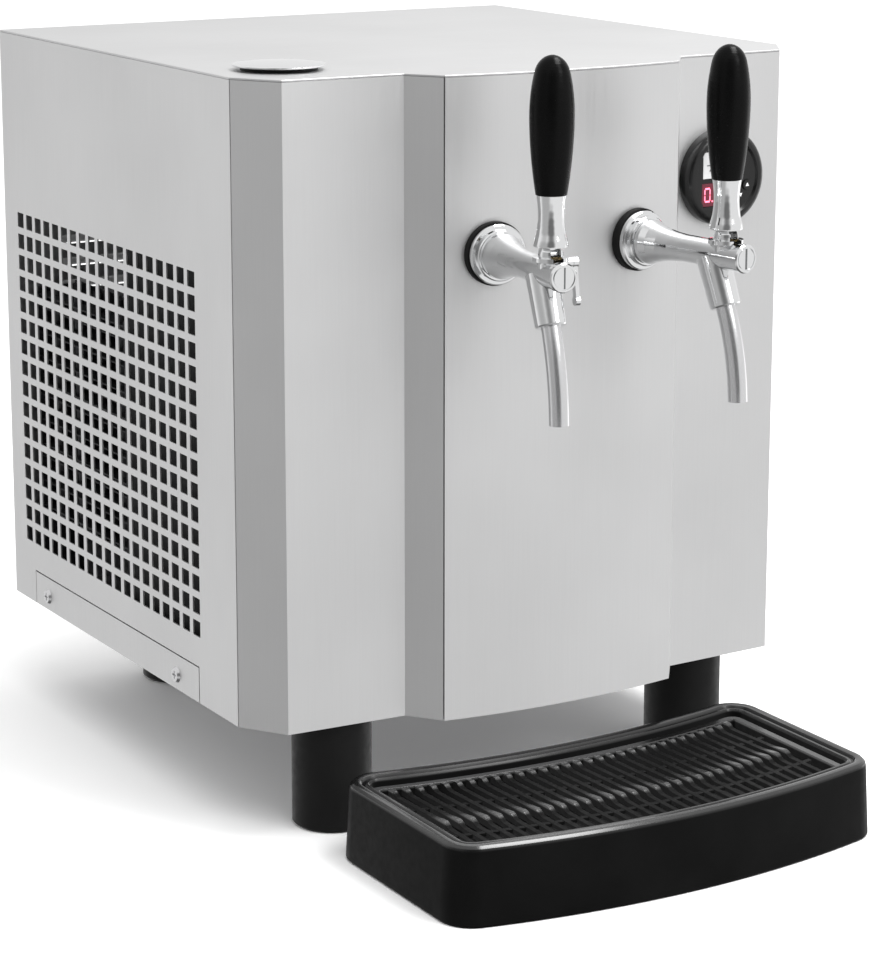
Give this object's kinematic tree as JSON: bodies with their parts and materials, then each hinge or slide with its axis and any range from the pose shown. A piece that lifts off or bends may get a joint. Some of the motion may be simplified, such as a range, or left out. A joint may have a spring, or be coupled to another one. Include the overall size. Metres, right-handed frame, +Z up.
{
  "type": "two-tap countertop beer dispenser",
  "caption": "Countertop beer chiller with lever taps on a bowed steel front, round thermostat, perforated sides, fill cap and a loose slatted drip tray.",
  "frame": {"origin": "on the counter, under the centre of the bounding box", "axes": "+Z up; the front, with the taps and the drip tray, faces -Y; the thermostat is on the +X side"},
  "size_m": [0.454, 0.662, 0.5525],
  "materials": {
    "panel_steel": "fine vertical brush",
    "pan_steel": "plain mill finish",
    "screw_steel": "bright",
    "tap_chrome": "polished",
    "spool_brass": "turned",
    "handle_black": "satin gloss",
    "black_plastic": "moulded",
    "tray_black": "moulded, half gloss",
    "bezel_black": "gloss",
    "label_grey": "printed",
    "display_red": "lit",
    "key_black": "satin",
    "seal_rubber": "matte",
    "housing_grey": "moulded",
    "tank_shell": "black foam jacket",
    "coil_copper": "drawn copper",
    "machine_black": "semi-gloss enamel",
    "fin_black": "black coated fins"
  },
  "bodies": {
    "cabinet": {"base_pan": "pan_steel", "left_side_panel": "panel_steel", "right_side_panel": "panel_steel", "rear_panel": "panel_steel", "top_cover": "panel_steel", "left_front_column": "panel_steel", "right_front_column": "panel_steel", "front_centre_panel": "panel_steel", "left_base_strip": "panel_steel", "right_base_strip": "panel_steel", "panel_screws": "screw_steel", "feet": "black_plastic", "foot_bolts": "pan_steel", "fill_neck": "black_plastic", "thermostat_bezel": "bezel_black", "thermostat_housing": "housing_grey", "thermostat_label": "label_grey", "thermostat_display": "display_red", "tap_gaskets": "seal_rubber", "shank_nuts": "pan_steel", "left_shank": "tap_chrome", "left_tap_body": "tap_chrome", "left_end_cap": "tap_chrome", "left_lever_pin": "screw_steel", "left_nozzle": "tap_chrome", "left_spout": "pan_steel", "right_shank": "tap_chrome", "right_tap_body": "tap_chrome", "right_end_cap": "tap_chrome", "right_lever_pin": "screw_steel", "right_nozzle": "tap_chrome", "right_spout": "pan_steel", "water_tank": "tank_shell", "tank_lid": "tank_shell", "evaporator_coil": "coil_copper", "beer_coils": "pan_steel", "agitator_motor": "machine_black", "compressor": "machine_black", "compressor_grommets": "seal_rubber", "condenser": "fin_black", "fan_motor": "machine_black", "beer_inlets": "pan_steel", "power_inlet": "black_plastic"},
    "left_lever_body": {"left_lever": "tap_chrome", "left_handle": "handle_black"},
    "right_lever_body": {"right_lever": "tap_chrome", "right_handle": "handle_black"},
    "left_spool_body": {"left_spool": "spool_brass"},
    "right_spool_body": {"right_spool": "spool_brass"},
    "flow_lever_body": {"left_flow_lever": "tap_chrome"},
    "set_key_body": {"set_key": "key_black"},
    "up_key_body": {"up_key": "key_black"},
    "down_key_body": {"down_key": "key_black"},
    "fill_cap_body": {"fill_cap": "tap_chrome"},
    "tray_body": {"drip_tray": "tray_black"},
    "grille_body": {"drip_grille": "tray_black"},
    "fan_body": {"fan_blade": "black_plastic"},
    "agitator_body": {"agitator_shaft": "pan_steel"}
  },
  "joints": [
    {"name": "left_lever_hinge", "type": "hinge", "parent": "cabinet", "child": "left_lever_body", "pos_m": [-0.06977, -0.24327, 0.423], "axis": [0.9932, -0.1167, 0], "range_deg": [-15, 28]},
    {"name": "left_spool_slide", "type": "slide", "parent": "cabinet", "child": "left_spool_body", "axis": [0.1167, 0.9932, 0], "range_m": [-0.0024, 0.0045]},
    {"name": "right_lever_hinge", "type": "hinge", "parent": "cabinet", "child": "right_lever_body", "pos_m": [0.07051, -0.24312, 0.423], "axis": [0.989, 0.1478, 0], "range_deg": [-15, 28]},
    {"name": "right_spool_slide", "type": "slide", "parent": "cabinet", "child": "right_spool_body", "axis": [-0.1478, 0.989, 0], "range_m": [-0.0024, 0.0045]},
    {"name": "left_flow_hinge", "type": "hinge", "parent": "cabinet", "child": "flow_lever_body", "pos_m": [-0.05785, -0.24467, 0.4165], "axis": [0.9932, -0.1167, 0], "range_deg": [-90, 0]},
    {"name": "set_key_press", "type": "slide", "parent": "cabinet", "child": "set_key_body", "axis": [-0.0444, 0.999, 0], "range_m": [0, 0.0008], "stiffness_N_per_m": 300},
    {"name": "up_key_press", "type": "slide", "parent": "cabinet", "child": "up_key_body", "axis": [-0.0444, 0.999, 0], "range_m": [0, 0.0008], "stiffness_N_per_m": 300},
    {"name": "down_key_press", "type": "slide", "parent": "cabinet", "child": "down_key_body", "axis": [-0.0444, 0.999, 0], "range_m": [0, 0.0008], "stiffness_N_per_m": 300},
    {"name": "fill_cap_lift", "type": "slide", "parent": "cabinet", "child": "fill_cap_body", "axis": [0, 0, 1], "range_m": [0, 0.05]},
    {"name": "tray_pull", "type": "slide", "parent": "cabinet", "child": "tray_body", "axis": [0, -1, 0], "range_m": [0, 0.15]},
    {"name": "grille_lift", "type": "slide", "parent": "tray_body", "child": "grille_body", "axis": [0, 0, 1], "range_m": [0, 0.03]},
    {"name": "fan_spin", "type": "hinge", "parent": "cabinet", "child": "fan_body", "pos_m": [-0.168, 0.2, 0.242], "axis": [1, 0, 0], "continuous": true},
    {"name": "agitator_spin", "type": "hinge", "parent": "cabinet", "child": "agitator_body", "pos_m": [-0.078, 0, 0.482], "axis": [0, 0, 1], "continuous": true}
  ],
  "couplings": [
    {"joint": "left_spool_slide", "follows": "left_lever_hinge", "m_per_rad": 0.009},
    {"joint": "right_spool_slide", "follows": "right_lever_hinge", "m_per_rad": 0.009}
  ]
}
